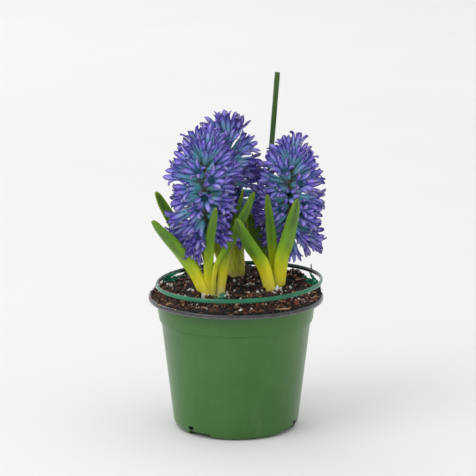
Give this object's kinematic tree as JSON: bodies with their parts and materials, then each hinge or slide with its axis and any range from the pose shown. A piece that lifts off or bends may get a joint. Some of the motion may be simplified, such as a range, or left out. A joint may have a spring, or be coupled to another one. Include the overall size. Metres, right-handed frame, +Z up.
{
  "type": "potted hyacinth",
  "caption": "Forced hyacinths in bloom in a round plastic nursery pot, with strap leaves, a support hoop on clips and a plant stake.",
  "frame": {"origin": "centre of the pot's base, on the plane it stands on", "axes": "+Z up, -Y towards the front, +X to the right as seen from the front"},
  "size_m": [0.1672, 0.165, 0.3309],
  "materials": {
    "pot_plastic": "glossy moulded green plastic with a dark inside and lip",
    "potting_mix": "loose damp peat and bark with white perlite",
    "bulb_skin": "papery dry bulb skin",
    "stalk_green": "smooth fleshy stalk",
    "leaf_green": "smooth fleshy leaf with a soft sheen",
    "petal_violet": "waxy violet-blue petals",
    "hoop_green": "glossy dark teal plastic",
    "clip_green": "crinkled dark green plastic",
    "stake_green": "stained round wooden rod"
  },
  "bodies": {
    "root": {"pot": "pot_plastic", "soil": "potting_mix", "bulb_left": "bulb_skin", "bulb_right": "bulb_skin", "bulb_back": "bulb_skin", "scape_left": "stalk_green", "scape_right": "stalk_green", "scape_back": "stalk_green", "flower_head_left": "petal_violet", "flower_head_right": "petal_violet", "flower_head_back": "petal_violet", "leaf_left_1": "leaf_green", "leaf_left_2": "leaf_green", "leaf_left_3": "leaf_green", "leaf_left_4": "leaf_green", "leaf_left_5": "leaf_green", "leaf_right_1": "leaf_green", "leaf_right_2": "leaf_green", "leaf_right_3": "leaf_green", "leaf_right_4": "leaf_green", "leaf_back_1": "leaf_green", "leaf_back_2": "leaf_green", "leaf_back_3": "leaf_green", "support_hoop": "hoop_green", "hoop_clip_1": "clip_green", "hoop_clip_2": "clip_green", "hoop_clip_3": "clip_green", "hoop_clip_4": "clip_green", "stake": "stake_green"}
  },
  "joints": []
}
